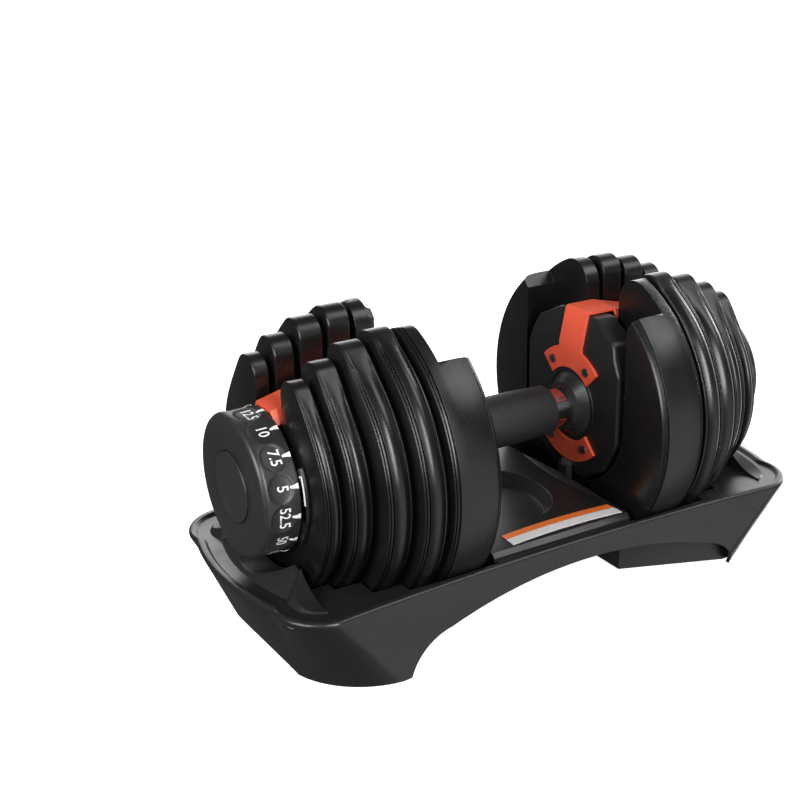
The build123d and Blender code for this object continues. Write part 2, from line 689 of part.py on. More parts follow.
# ---- write every node ------------------------------------------------------------------
def main():
    os.makedirs("parts", exist_ok=True)

    save("base_tray", base_tray())
    save("rubber_feet", rubber_feet())
    save("release_posts", release_posts())
    save("info_label", info_label())

    for number in range(1, 6):
        cover, core = thick_weight() if number == 5 else weight(number)
        save_pair(f"weight_{number}", cover)
        save_pair(f"weight_core_{number}", core)

    save("handle_tube", handle_tube())
    save("grip_sleeve", grip_sleeve())
    save("through_rod", drum(ROD_R, -ROD_END, ROD_END))
    save("rod_nuts", rod_nuts())
    save("index_marks", index_marks())
    save("lock_springs", lock_springs())
    screws = bracket_screws()
    save("bracket_screws", screws + mirror(screws, about=MIRROR))
    save_pair("end_collar", end_collar())
    save_pair("inner_housing", inner_housing())
    save_pair("housing_back", housing_back())
    save_pair("upper_bracket", upper_bracket())
    save_pair("lower_bracket", lower_bracket())
    save_pair("index_plate", index_plate())

    save_pair("dial", dial())
    save_pair("dial_cap", dial_cap())
    save_pair("dial_ticks", dial_ticks())
    save_pair("selector_sleeve", selector_sleeve())
    save_pair("selector_discs", selector_discs())
    save_pair("lock_ring", lock_ring())
    save_pair("lock_slide", lock_slide())


main()
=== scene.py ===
import json
import math

import bmesh
import bpy
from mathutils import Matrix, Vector


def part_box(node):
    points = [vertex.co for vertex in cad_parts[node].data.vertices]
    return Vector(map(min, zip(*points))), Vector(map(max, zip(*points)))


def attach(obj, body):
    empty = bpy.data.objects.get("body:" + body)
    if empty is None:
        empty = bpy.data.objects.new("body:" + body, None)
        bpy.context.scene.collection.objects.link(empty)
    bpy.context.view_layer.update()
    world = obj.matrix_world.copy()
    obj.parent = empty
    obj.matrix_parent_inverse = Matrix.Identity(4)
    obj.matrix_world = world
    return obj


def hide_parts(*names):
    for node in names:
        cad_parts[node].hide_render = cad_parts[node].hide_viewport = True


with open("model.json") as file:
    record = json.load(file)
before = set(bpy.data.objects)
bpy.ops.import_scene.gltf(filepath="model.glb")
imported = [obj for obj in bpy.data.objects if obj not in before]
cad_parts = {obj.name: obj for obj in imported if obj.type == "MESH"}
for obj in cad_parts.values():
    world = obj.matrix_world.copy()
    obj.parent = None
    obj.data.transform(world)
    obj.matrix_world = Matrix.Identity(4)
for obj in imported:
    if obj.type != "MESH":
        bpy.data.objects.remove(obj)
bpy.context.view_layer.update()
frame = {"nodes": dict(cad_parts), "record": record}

MM = 0.001
SIDES = (("left", -1), ("right", 1))

# ---- places read from the frame -----------------------------------------------
rod_low, rod_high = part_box("through_rod")
AXIS_Z = (rod_low.z + rod_high.z) / 2
dial_low, dial_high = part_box("dial_right")
DIAL_IN_X, DIAL_FACE_X = dial_low.x, dial_high.x
DIAL_R = (dial_high.y - dial_low.y) / 2 + 2.6 * MM     # the seen dial is a little fuller than its solid
cap_low, cap_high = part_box("dial_cap_right")
CAP_R = (cap_high.y - cap_low.y) / 2
label_low, label_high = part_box("info_label")

# ---- the dial's print and grip scallops ------------------------------------------
NUMBERS = ("5", "7.5", "10", "12.5", "15", "17.5", "20", "22.5", "25", "30", "35", "40", "45", "50", "52.5")
PITCH = 2 * math.pi / len(NUMBERS)
FIRST_ANGLE = math.radians(15)      # where "5" sits; 0 is the front and 90 degrees the top
SCALLOP_HALF_X = 8.2 * MM
SCALLOP_HALF_ANGLE = 0.47 * PITCH
SCALLOP_DEPTH = 1.25 * MM
SCALLOP_X = 12.4 * MM               # scallop's middle, from the dial's face
DIGIT_HEIGHT = 7.2 * MM
DIGIT_BASE = 17.6 * MM              # baseline of the numbers, from the dial's face
PRINT_PROUD = 0.12 * MM
TICK_LENGTH = 5.2 * MM
TICK_HALF = (0.6 * MM, 1.75 * MM)       # half width at the narrow and the wide end
TICK_SUNK = 0.3 * MM
TICK_EDGE_GAP = 0.7 * MM            # from the wide end to the dial's plate-side edge
FACE_ROUND = 4.0 * MM               # rounding of the dial's face edge
DIAL_WALL = 3.0 * MM
FACE_WALL = 3.5 * MM
HUB_R = 15.0 * MM
HUB_BORE_R = 10.05 * MM             # runs on the selector sleeve
HUB_BORE_END = 18.0 * MM            # depth below the face at which the bore widens
NUT_BORE_R = 12.0 * MM
FACE_STEPS, GRIP_STEPS, PITCH_STEPS = 6, 26, 24

# ---- the index beside each dial, angles in degrees up from the front ----------------------
LOBE_R = (38.0 * MM, 52.5 * MM)
LOBE_ANGLES = (-14, 27)
MARK_R = (49.6 * MM, 50.9 * MM)
MARK_ANGLES = (0, 21)
MARK_HOOK_R = 47.6 * MM             # inner end of the short stroke at the mark's top
MARK_HOOK_ANGLES = (20, 21.5)
MARK_PROUD = 0.4 * MM

# ---- plate covers; plain lengths here are millimetres --------------------------------------
SLOT_HALF = 18.0
TIP_R = 12.5
TIP_TOP = (72.5, 82.0, 90.5, 95.0)   # top of the finger tips of plates 1 to 4, from the axis
TIP_ROUND = 1.2
FULL_RIM_THICKNESS = 14.0            # thinner plates have a narrower moulding
CROWN_RISE = 2.1
BACK_RINGS = ((1.0, 4.6), (0.0, 4.4), (0.0, 3.4))    # (depth, inset) of the recess in the inner face
TAB_R = (25.0 * MM, 28.5 * MM)       # hook tab under the axis
TAB_X = (-1.7 * MM, 1.2 * MM)        # from the plate's inner face
TAB_ANGLES = (-99, -81)

# ---- deck lips -------------------------------------------------------------------------------
DECK_Z = 67.0 * MM
LIP_EDGE_X = 55.6 * MM               # beside the plate well
LIP_HALF_LENGTH = 49.0 * MM
LIP_BULGE = 5.5 * MM                 # width at its middle
LIP_RISE = 1.9 * MM
LIP_SUNK = 0.4 * MM
LIP_ROWS = 24

# ---- camera ----------------------------------------------------------------------------------
AZIMUTH, ELEVATION = math.radians(-33.7), math.radians(23.8)
DISTANCE = 0.9774
TARGET = (-0.0109, 0.0, AXIS_Z - 0.0366)
FOCAL = 1.749                        # focal length over the frame's width
SENSOR_WIDTH = 36.0
SHIFT = (-0.107, 0.091)


# ---- small helpers ---------------------------------------------------------------
def merge_and_smooth(obj, angle_deg=35.0):
    """Welds a CAD mesh's split vertices for shading and smooths all but its real edges."""
    weld = obj.modifiers.new("weld", "WELD")
    weld.merge_threshold = 2e-6
    for polygon in obj.data.polygons:
        polygon.use_smooth = True
    split_edges(obj, angle_deg)


def split_edges(obj, angle_deg):
    """Keeps edges sharper than the angle crisp in the shading."""
    split = obj.modifiers.new("edges", "EDGE_SPLIT")
    split.split_angle = math.radians(angle_deg)


def on_axis(x, radius, angle):
    """Point at a radius from the dumbbell's axis; angle 0 is the front and 90 degrees the top."""
    return Vector((x, -radius * math.cos(angle), AXIS_Z + radius * math.sin(angle)))


def polar(side, inward, radius, angle):
    """Point on a dial: inward is its distance from the dial's face towards the plates."""
    return on_axis(side * (DIAL_FACE_X - inward), radius, angle)


def shifted(faces, start):
    """The same faces for vertices that come after others."""
    return [tuple(index + start for index in face) for face in faces]


def ring_faces(rows, corners):
    """Side and end faces of a bar, whose sections follow each other with their corners in order."""
    faces = []
    for row in range(rows):
        for index in range(corners):
            after = (index + 1) % corners
            here, above = corners * row, corners * (row + 1)
            faces.append((here + index, here + after, above + after, above + index))
    return faces + [tuple(reversed(range(corners))), tuple(range(corners * rows, corners * (rows + 1)))]


def mesh_object(name, vertices, faces, body, slot, smooth=True):
    """New piece of the slot's material that rides on a body, its faces turned outward."""
    mesh = bpy.data.meshes.new(name)
    mesh.from_pydata([tuple(v) for v in vertices], [], faces)
    mesh.validate()
    for polygon in mesh.polygons:
        polygon.use_smooth = smooth
    obj = bpy.data.objects.new(name, mesh)
    bpy.context.scene.collection.objects.link(obj)
    make_outward(mesh)
    mesh.materials.append(MATERIALS[slot])
    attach(obj, body)
    return obj


def make_outward(mesh):
    """Turns a mesh's faces outward."""
    work = bmesh.new()
    work.from_mesh(mesh)
    bmesh.ops.recalc_face_normals(work, faces=work.faces)
    work.to_mesh(mesh)
    work.free()


# ---- materials ---------------------------------------------------------------------
class Nodes:
    """Short way to add shader nodes and link them."""

    def __init__(self, name):
        self.material = bpy.data.materials.new(name)
        self.material.use_nodes = True
        self.tree = self.material.node_tree
        self.shader = self.tree.nodes["Principled BSDF"]
        self.coords = self.tree.nodes.new("ShaderNodeTexCoord").outputs["Object"]

    def add(self, kind, inputs=None, **settings):
        node = self.tree.nodes.new("ShaderNode" + kind)
        for key, value in settings.items():
            setattr(node, key, value)
        for key, value in (inputs or {}).items():
            if isinstance(value, bpy.types.NodeSocket):
                self.tree.links.new(value, node.inputs[key])
            else:
                node.inputs[key].default_value = value
        return node

    def noise(self, scale, detail=3.0, roughness=0.5):
        node = self.add("TexNoise", {"Vector": self.coords, "Scale": scale, "Detail": detail,
                                     "Roughness": roughness})
        return node.outputs["Fac"]

    def spread(self, value, low, high, out_low, out_high):
        node = self.add("MapRange", {"Value": value, "From Min": low, "From Max": high,
                                     "To Min": out_low, "To Max": out_high})
        return node.outputs["Result"]

    def mix(self, factor, a, b):
        node = self.add("Mix", data_type="RGBA")
        for key, value in (("Factor", factor), ("A", a), ("B", b)):
            socket = [s for s in node.inputs if s.name == key and s.enabled][0]
            if isinstance(value, bpy.types.NodeSocket):
                self.tree.links.new(value, socket)
            else:
                socket.default_value = value
        return [s for s in node.outputs if s.enabled][0]

    def bump(self, height, strength, distance, normal=None):
        inputs = {"Height": height, "Strength": strength, "Distance": distance}
        if normal:
            inputs["Normal"] = normal
        return self.add("Bump", inputs).outputs["Normal"]

    def soft_edges(self, radius):
        """Rounds the look of sharp edges by a fraction of a millimetre."""
        return self.add("Bevel", {"Radius": radius}, samples=4).outputs["Normal"]

    def set(self, **values):
        """Sets or links the shader's own inputs and gives back the material."""
        for key, value in values.items():
            socket = self.shader.inputs[key.replace("_", " ")]
            if isinstance(value, bpy.types.NodeSocket):
                self.tree.links.new(value, socket)
            else:
                socket.default_value = value
        return self.material


def grey(value, tint=0.0):
    """Colour of one grey level, a little bluer by the tint."""
    return (value, value, value * (1 + tint), 1.0)


def moulded_plastic(name, tone, roughness, grain=0.12, tint=0.03):
    """Black injection-moulded plastic: fine spark-eroded grain, slight sheen changes, dusty tone."""
    n = Nodes(name)
    cloud = n.noise(14.0, 4.0, 0.6)
    dust = n.spread(n.noise(420.0, 2.0), 0.55, 0.78, 0.0, 0.35)
    colour = n.mix(n.spread(cloud, 0.3, 0.7, 0.0, 1.0), grey(tone * 0.82, tint), grey(tone * 1.18, tint))
    colour = n.mix(dust, colour, grey(tone * 1.9, tint))
    sheen_change = n.spread(n.noise(38.0, 5.0, 0.65), 0.3, 0.7, roughness - 0.05, roughness + 0.07)
    fine = n.bump(n.noise(2600.0, 2.0, 0.6), grain, 0.00012, n.soft_edges(0.0006))
    normal = n.bump(n.noise(60.0, 2.0), 0.05, 0.0006, fine)
    return n.set(Base_Color=colour, Roughness=sheen_change, Normal=normal, Specular_IOR_Level=0.5)


def coated_steel(name, tone, roughness):
    """Dark coating with fine pits."""
    n = Nodes(name)
    pits = n.noise(900.0, 4.0, 0.7)
    colour = n.mix(n.spread(n.noise(55.0, 5.0), 0.35, 0.7, 0, 1), grey(tone * 0.7), grey(tone * 1.5))
    rough = n.spread(pits, 0.3, 0.7, roughness - 0.08, roughness + 0.1)
    return n.set(Base_Color=colour, Roughness=rough, Normal=n.bump(pits, 0.25, 0.0002), Metallic=0.35)


def bare_metal(name, tone, roughness, stretch, tint=0.02):
    """Turned or brushed metal with fine marks round or along X."""
    n = Nodes(name)
    mapped = n.add("Mapping", {"Vector": n.coords, "Scale": stretch}).outputs["Vector"]
    lines = n.add("TexNoise", {"Vector": mapped, "Scale": 1.0, "Detail": 4.0}).outputs["Fac"]
    colour = n.mix(n.spread(lines, 0.3, 0.7, 0, 1), grey(tone * 0.85, tint), grey(tone * 1.1, tint))
    rough = n.spread(lines, 0.25, 0.75, roughness - 0.05, roughness + 0.08)
    return n.set(Base_Color=colour, Roughness=rough, Metallic=1.0, Normal=n.bump(lines, 0.08, 0.00005))


def painted(name, colour_a, colour_b, roughness):
    """Satin powder coat with a slight orange-peel surface."""
    n = Nodes(name)
    colour = n.mix(n.spread(n.noise(22.0, 4.0), 0.3, 0.7, 0, 1), colour_a, colour_b)
    peel = n.bump(n.noise(950.0, 1.0), 0.10, 0.00012, n.soft_edges(0.0007))
    rough = n.spread(n.noise(120.0, 4.0), 0.3, 0.7, roughness - 0.05, roughness + 0.06)
    return n.set(Base_Color=colour, Roughness=rough, Normal=peel, Specular_IOR_Level=0.5)


def rubber(name, tone, roughness):
    """Soft matt rubber with a fine stipple."""
    n = Nodes(name)
    stipple = n.add("TexVoronoi", {"Vector": n.coords, "Scale": 900.0}).outputs["Distance"]
    colour = n.mix(n.spread(n.noise(30.0, 5.0), 0.3, 0.7, 0, 1), grey(tone * 0.8), grey(tone * 1.25))
    rough = n.spread(n.noise(260.0, 3.0), 0.3, 0.7, roughness - 0.06, roughness + 0.06)
    return n.set(Base_Color=colour, Roughness=rough, Normal=n.bump(stipple, 0.18, 0.0002))


def print_film(name, colour_a, colour_b):
    """Smooth printed film."""
    n = Nodes(name)
    colour = n.mix(n.spread(n.noise(700.0, 3.0), 0.35, 0.7, 0, 1), colour_a, colour_b)
    rough = n.spread(n.noise(160.0, 2.0), 0.3, 0.7, 0.32, 0.45)
    return n.set(Base_Color=colour, Roughness=rough, Normal=n.bump(n.noise(1200.0), 0.03, 0.0001))


def label_film():
    """Printed strip: a bowed orange band along its back edge over near-white film."""
    half_length, bow_depth, band_width, blend = 45.5 * MM, 2.5 * MM, 6.6 * MM, 0.05 * MM
    n = Nodes("label")
    split = n.add("SeparateXYZ", {"Vector": n.coords})
    middle = (label_low.x + label_high.x) / 2
    bow = bow_depth / half_length ** 2
    offset = n.add("Math", {0: split.outputs["X"], 1: middle}, operation="SUBTRACT").outputs[0]
    squared = n.add("Math", {0: offset, 1: offset}, operation="MULTIPLY").outputs[0]
    back = n.add("Math", {0: squared, 1: bow, 2: split.outputs["Y"]}, operation="MULTIPLY_ADD").outputs[0]
    edge = label_high.y - band_width
    band = n.spread(back, edge - blend, edge + blend, 0.0, 1.0)
    paper_spots = n.spread(n.noise(700.0, 3.0), 0.35, 0.7, 0, 1)
    paper = n.mix(paper_spots, (0.72, 0.70, 0.70, 1), (0.86, 0.84, 0.84, 1))
    orange_spots = n.spread(n.noise(500.0, 3.0), 0.35, 0.7, 0, 1)
    orange = n.mix(orange_spots, (0.80, 0.17, 0.03, 1), (0.88, 0.21, 0.04, 1))
    rough = n.spread(n.noise(160.0, 2.0), 0.3, 0.7, 0.32, 0.45)
    normal = n.bump(n.noise(1200.0), 0.03, 0.0001)
    return n.set(Base_Color=n.mix(band, paper, orange), Roughness=rough, Normal=normal)


MATERIALS = {
    "tray_plastic": moulded_plastic("tray_plastic", 0.012, 0.32),
    "plate_cover": moulded_plastic("plate_cover", 0.0045, 0.29),
    "dial_plastic": moulded_plastic("dial_plastic", 0.019, 0.36),
    "dial_cap_plastic": moulded_plastic("dial_cap_plastic", 0.022, 0.34),
    "housing_plastic": moulded_plastic("housing_plastic", 0.009, 0.36),
    "selector_plastic": moulded_plastic("selector_plastic", 0.24, 0.5, tint=0.0),
    "plate_steel": coated_steel("plate_steel", 0.02, 0.45),
    "tube_steel": bare_metal("tube_steel", 0.50, 0.13, (30.0, 4000.0, 4000.0)),
    "rod_steel": bare_metal("rod_steel", 0.55, 0.3, (3000.0, 60.0, 60.0)),
    "lock_steel": bare_metal("lock_steel", 0.5, 0.32, (40.0, 900.0, 900.0)),
    "screw_steel": bare_metal("screw_steel", 0.22, 0.34, (600.0, 600.0, 600.0)),
    "collar_metal": coated_steel("collar_metal", 0.03, 0.30),
    "bracket_orange": painted("bracket_orange", (0.62, 0.074, 0.034, 1), (0.72, 0.094, 0.043, 1), 0.42),
    "grip_rubber": rubber("grip_rubber", 0.008, 0.62),
    "foot_rubber": rubber("foot_rubber", 0.02, 0.75),
    "mark_white": print_film("mark_white", (0.78, 0.78, 0.77, 1), (0.86, 0.86, 0.85, 1)),
    "label": label_film(),
}


def dress_cad_nodes():
    """Gives every CAD node its slot's material and smooth shading."""
    for entry in frame["record"]["subparts"]:
        obj = frame["nodes"][entry["node"]]
        merge_and_smooth(obj)
        for index in range(max(1, len(obj.material_slots))):
            if not obj.material_slots:
                obj.data.materials.append(None)
            obj.material_slots[index].material = MATERIALS[entry["material_slot"]]


# ---- dials ---------------------------------------------------------------------------------
def scallop_cut(inward, angle):
    """Depth of the grip scallops at a place on the rim; each number sits in one."""
    turns = (angle - FIRST_ANGLE) / PITCH
    across = (turns - round(turns)) * PITCH / SCALLOP_HALF_ANGLE
    along = (inward - SCALLOP_X) / SCALLOP_HALF_X
    reach = across * across + along * along
    return SCALLOP_DEPTH * math.sqrt(1 - reach) if reach < 1 else 0.0


def dial_profile():
    """Closed (inward, radius) outline of the dial, with the index range of its grip surface."""
    depth = DIAL_FACE_X - DIAL_IN_X
    points = [(1.0 * MM, CAP_R + 0.3 * MM), (0.3 * MM, CAP_R + 0.5 * MM), (0.0, CAP_R + 1.1 * MM)]
    for step in range(FACE_STEPS + 1):
        turn = math.pi / 2 * step / FACE_STEPS
        points.append((FACE_ROUND * (1 - math.cos(turn)), DIAL_R - FACE_ROUND * (1 - math.sin(turn))))
    first = len(points)
    grip_start, grip_length = FACE_ROUND + 0.5 * MM, depth - FACE_ROUND - 1.2 * MM
    for step in range(GRIP_STEPS):
        points.append((grip_start + grip_length * step / (GRIP_STEPS - 1), DIAL_R))
    last = len(points)
    points += [(depth - 0.2 * MM, DIAL_R - 0.15 * MM), (depth, DIAL_R - 0.6 * MM),
               (depth, DIAL_R - DIAL_WALL), (FACE_WALL, DIAL_R - DIAL_WALL), (FACE_WALL, HUB_R),
               (depth, HUB_R), (depth, HUB_BORE_R), (HUB_BORE_END, HUB_BORE_R),
               (HUB_BORE_END, NUT_BORE_R), (2.0 * MM, NUT_BORE_R), (2.0 * MM, CAP_R + 0.3 * MM)]
    return points, first, last


def make_dial(name, side):
    """Cup with a rounded face edge and an oval grip scallop under each number."""
    profile, first, last = dial_profile()
    around = PITCH_STEPS * len(NUMBERS)
    vertices = []
    for step in range(around):
        angle = 2 * math.pi * step / around
        for index, (inward, radius) in enumerate(profile):
            cut = scallop_cut(inward, angle) if first <= index < last else 0.0
            vertices.append(polar(side, inward, radius - cut, angle))
    count = len(profile)
    faces = []
    for step in range(around):
        here, after = step * count, (step + 1) % around * count
        for index in range(count):
            following = (index + 1) % count
            faces.append((here + index, here + following, after + following, after + index))
    dial = mesh_object(f"grip_dial_{name}", vertices, faces, f"selector_{name}", "dial_plastic")
    split_edges(dial, 28)
    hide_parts(f"dial_{name}")


def text_outline(text):
    """Digits as a mesh one unit high, centred along their line: vertices and faces."""
    boldness, narrowing, long_edge = 0.010, 0.88, 0.12
    curve = bpy.data.curves.new("digits", "FONT")
    curve.body = text
    curve.align_x = "CENTER"
    curve.offset = boldness
    curve.resolution_u = 3
    curve.extrude = 0.5
    holder = bpy.data.objects.new("digits", curve)
    bpy.context.scene.collection.objects.link(holder)
    mesh = bpy.data.meshes.new_from_object(holder)
    bpy.data.objects.remove(holder)
    work = bmesh.new()
    work.from_mesh(mesh)
    bmesh.ops.remove_doubles(work, verts=work.verts, dist=1e-5)
    bmesh.ops.triangulate(work, faces=work.faces)
    long_edges = [e for e in work.edges
                  if e.calc_length() > long_edge and abs(e.verts[0].co.z - e.verts[1].co.z) < 0.1]
    bmesh.ops.subdivide_edges(work, edges=long_edges, cuts=3)
    bmesh.ops.triangulate(work, faces=work.faces)
    points = [v.co.copy() for v in work.verts]
    faces = [[v.index for v in f.verts] for f in work.faces]
    work.free()
    low, high = min(p.y for p in points), max(p.y for p in points)
    return [(p.x / (high - low) * narrowing, (p.y - low) / (high - low), p.z) for p in points], faces


def make_numbers(name, side):
    """White numbers printed round the dial, each following its scallop."""
    vertices, faces = [], []
    for setting, text in enumerate(NUMBERS):
        middle = FIRST_ANGLE + PITCH * setting
        points, shapes = text_outline(text)
        start = len(vertices)
        for along, up, thick in points:
            angle = middle + side * along * DIGIT_HEIGHT / DIAL_R
            inward = DIGIT_BASE - DIGIT_HEIGHT + up * DIGIT_HEIGHT
            radius = DIAL_R - scallop_cut(inward, angle) + PRINT_PROUD * thick
            vertices.append(polar(side, inward, radius, angle))
        faces += shifted(shapes, start)
    mesh_object(f"dial_numbers_{name}", vertices, faces, f"selector_{name}", "mark_white", smooth=False)


def make_ticks(name, side):
    """A white wedge beside each number, its wide end at the dial's plate-side edge."""
    wide_end = DIAL_FACE_X - DIAL_IN_X - TICK_EDGE_GAP
    rows, columns = 8, 5
    vertices, faces = [], []
    for setting in range(len(NUMBERS)):
        middle = FIRST_ANGLE + PITCH * setting
        start = len(vertices)
        for proud in (PRINT_PROUD, -TICK_SUNK):
            for row in range(rows):
                inward = wide_end - TICK_LENGTH * (1 - row / (rows - 1))
                half = TICK_HALF[0] + (TICK_HALF[1] - TICK_HALF[0]) * row / (rows - 1)
                for column in range(columns):
                    angle = middle + (2 * column / (columns - 1) - 1) * half / DIAL_R
                    radius = DIAL_R - scallop_cut(inward, angle) + proud
                    vertices.append(polar(side, inward, radius, angle))
        below = rows * columns
        for row in range(rows - 1):
            for column in range(columns - 1):
                a = start + columns * row + column
                faces += [(a, a + 1, a + columns + 1, a + columns),
                          (below + a, below + a + columns, below + a + columns + 1, below + a + 1)]
        edge = list(range(columns)) + [columns * row + columns - 1 for row in range(1, rows)]
        edge += [columns * (rows - 1) + column for column in range(columns - 2, -1, -1)]
        edge += [columns * row for row in range(rows - 2, 0, -1)]
        faces += [(start + a, start + a + below, start + b + below, start + b)
                  for a, b in zip(edge, edge[1:] + edge[:1])]
    ticks = mesh_object(f"dial_tick_marks_{name}", vertices, faces, f"selector_{name}", "mark_white",
                        smooth=False)
    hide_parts(f"dial_ticks_{name}")


def arc_block(side, x_span, radii, angles, steps):
    """Vertices and faces of a block bent round the axis, from one dial angle to another."""
    corners = ((x_span[0], radii[0]), (x_span[1], radii[0]), (x_span[1], radii[1]), (x_span[0], radii[1]))
    vertices = []
    for step in range(steps + 1):
        angle = math.radians(angles[0] + (angles[1] - angles[0]) * step / steps)
        vertices += [on_axis(side * x, radius, angle) for x, radius in corners]
    return vertices, ring_faces(steps, len(corners))


def make_index():
    """Lobe behind each dial's edge and the white bracket-shaped mark beside the chosen number."""
    vertices, faces = [], []
    plate_low, plate_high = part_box("index_plate_right")
    mark_x = (plate_high.x, plate_high.x + MARK_PROUD)
    for name, side in SIDES:
        lobe = arc_block(side, (plate_low.x, plate_high.x), LOBE_R, LOBE_ANGLES, 24)
        mesh_object(f"index_lobe_{name}", *lobe, "handle", "housing_plastic")
        for radii, angles in ((MARK_R, MARK_ANGLES), ((MARK_HOOK_R, MARK_R[1]), MARK_HOOK_ANGLES)):
            points, shapes = arc_block(side, mark_x, radii, angles, 12)
            faces += shifted(shapes, len(vertices))
            vertices += points
    mark = mesh_object("index_mark_print", vertices, faces, "handle", "mark_white", smooth=False)
    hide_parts("index_marks")


def make_dials():
    """Both dials with their print, and the index beside them."""
    for name, side in SIDES:
        make_dial(name, side)
        make_numbers(name, side)
        make_ticks(name, side)
    make_index()


# ---- plate covers ------------------------------------------------------------------------------
def ease(value):
    """Smooth step from 0 to 1."""
    value = min(1.0, max(0.0, value))
    return value * value * (3 - 2 * value)


def plate_outline(radius, tip_top):
    """Half outline of a plate from under the axis up its slot, round its finger and down its rim.

    Each row is y, z, the outward normal, and how much of the moulded rim shows there, 0 to 1.
    """
    fade_in, fade_deg = 1.6, 14        # the moulding fades in along the shoulder and the rim after it
    under_steps, side_steps, tip_steps, shoulder_steps, rim_steps = 14, 7, 21, 14, 71
    rows = []
    for step in range(under_steps + 1):
        turn = math.radians(-90 + 90 * step / under_steps)
        y, z = math.cos(turn), math.sin(turn)
        rows.append((SLOT_HALF * y, SLOT_HALF * z, -y, -z, 0))
    middle_y, middle_z = SLOT_HALF + TIP_R, tip_top - TIP_R
    for step in range(1, side_steps):
        rows.append((SLOT_HALF, middle_z * step / side_steps, -1.0, 0.0, 0))
    reach = math.hypot(middle_y, middle_z)
    tangent = math.atan2(middle_z, middle_y) - math.acos((radius - TIP_R) / reach)
    for step in range(tip_steps + 1):
        turn = math.pi + (tangent - math.pi) * step / tip_steps
        y, z = math.cos(turn), math.sin(turn)
        rows.append((middle_y + TIP_R * y, middle_z + TIP_R * z, y, z, 0))
    normal = (math.cos(tangent), math.sin(tangent))
    start, end = rows[-1][:2], (radius * normal[0], radius * normal[1])
    for step in range(1, shoulder_steps):
        t = step / shoulder_steps
        y, z = (start[axis] + (end[axis] - start[axis]) * t for axis in (0, 1))
        rows.append((y, z, *normal, ease(t / fade_in)))
    for step in range(rim_steps + 1):
        turn = tangent + (-math.pi / 2 - tangent) * step / rim_steps
        y, z = math.cos(turn), math.sin(turn)
        shown = ease((1 + math.degrees(tangent - turn) / fade_deg) / fade_in)
        rows.append((radius * y, radius * z, y, z, shown))
    return rows


def rim_profile(thick):
    """(distance from the inner face, inset) over the rim: lip, crowned band, two thin ribs."""
    k = min(1.0, thick / FULL_RIM_THICKNESS)
    low, high = 2.3 * k, thick - 3.9 * k
    edge_height = 0.309                # the crown's height at its inner edge, its top being 1
    rows = [(0.0, 2.6), (0.5 * k, 2.1), (1.5 * k, 2.0), (1.75 * k, 2.9), (2.1 * k, 2.9)]
    for step in range(11):
        t = step / 10
        height = math.sin(math.pi * (0.10 + 0.74 * t))
        rise = (height - edge_height) / (1 - edge_height)
        rows.append((low + (high - low) * t, CROWN_RISE * (1 - rise)))
    ribs = ((3.6, 2.9), (3.1, 2.9), (2.8, 1.7), (1.9, 1.9), (1.65, 3.0), (1.25, 3.0), (1.0, 2.2),
            (0.4, 2.4), (0.0, 3.1))
    return rows + [(thick - from_outer * k, inset) for from_outer, inset in ribs]


def tip_inset(depth, thick):
    """Small rounding of a finger's edges."""
    edge = min(depth, thick - depth, TIP_ROUND)
    return TIP_ROUND - math.sqrt(max(0.0, TIP_ROUND ** 2 - (TIP_ROUND - edge) ** 2))


def cover_shell(number, side):
    """Vertices and faces of a plate's cover, with a shallow recess in its inner face."""
    low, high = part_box(f"weight_{number}_right")
    core_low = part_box(f"weight_core_{number}_right")[0]
    inner_x, thick = core_low.x / MM, (high.x - core_low.x) / MM
    half = plate_outline((high.y - low.y) / 2 / MM, TIP_TOP[number - 1])
    loop = half[:-1] + [(-y, z, -ny, nz, shown) for y, z, ny, nz, shown in reversed(half[1:])]
    rings = [(*ring, False) for ring in BACK_RINGS] + [(*ring, True) for ring in rim_profile(thick)]
    vertices = []
    for depth, inset, moulded in rings:
        for y, z, ny, nz, shown in loop:
            cut = shown * inset + (1 - shown) * tip_inset(depth, thick) if moulded else inset
            place = Vector((side * (inner_x + depth), y - ny * cut, z - nz * cut))
            vertices.append(place * MM + Vector((0, 0, AXIS_Z)))
    return vertices, ring_faces(len(rings) - 1, len(loop))


def make_cover(number, name, side):
    """Plate cover with fingers that run smoothly into its moulded rim, and its hook tab."""
    vertices, faces = cover_shell(number, side)
    inner_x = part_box(f"weight_core_{number}_right")[0].x
    tab, tab_faces = arc_block(side, (inner_x + TAB_X[0], inner_x + TAB_X[1]), TAB_R, TAB_ANGLES, 6)
    faces += shifted(tab_faces, len(vertices))
    cover = mesh_object(f"plate_cover_{number}_{name}", vertices + tab, faces, f"weights_{number}",
                        "plate_cover")
    split_edges(cover, 32)
    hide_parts(f"weight_{number}_{name}")


def make_covers():
    """Covers of plates 1 to 4 at both ends."""
    for number in range(1, 5):
        for name, side in SIDES:
            make_cover(number, name, side)


# ---- deck lips ---------------------------------------------------------------------------------
def lip_section(side, t):
    """Five corners across a deck lip; t runs from -1 to 1 along it."""
    fullness = 1 - t * t
    y, edge_x = t * LIP_HALF_LENGTH, side * LIP_EDGE_X
    inner_x = side * (LIP_EDGE_X - (LIP_BULGE * fullness + 0.15 * MM))
    top_z = DECK_Z + (LIP_RISE * fullness + 0.05 * MM)
    return [(edge_x, y, DECK_Z - LIP_SUNK), (inner_x, y, DECK_Z - LIP_SUNK), (inner_x, y, DECK_Z + 0.02 * MM),
            (side * (LIP_EDGE_X - 0.25 * MM), y, top_z), (edge_x, y, top_z)]


def make_deck_lips():
    """Lens-shaped ramp up to the edge of each plate well, on the deck."""
    for name, side in SIDES:
        sections = [lip_section(side, 2 * row / LIP_ROWS - 1) for row in range(LIP_ROWS + 1)]
        vertices = [corner for section in sections for corner in section]
        faces = ring_faces(LIP_ROWS, len(sections[0]))
        lip = mesh_object(f"deck_lip_{name}", vertices, faces, "tray", "tray_plastic")
        split_edges(lip, 30)


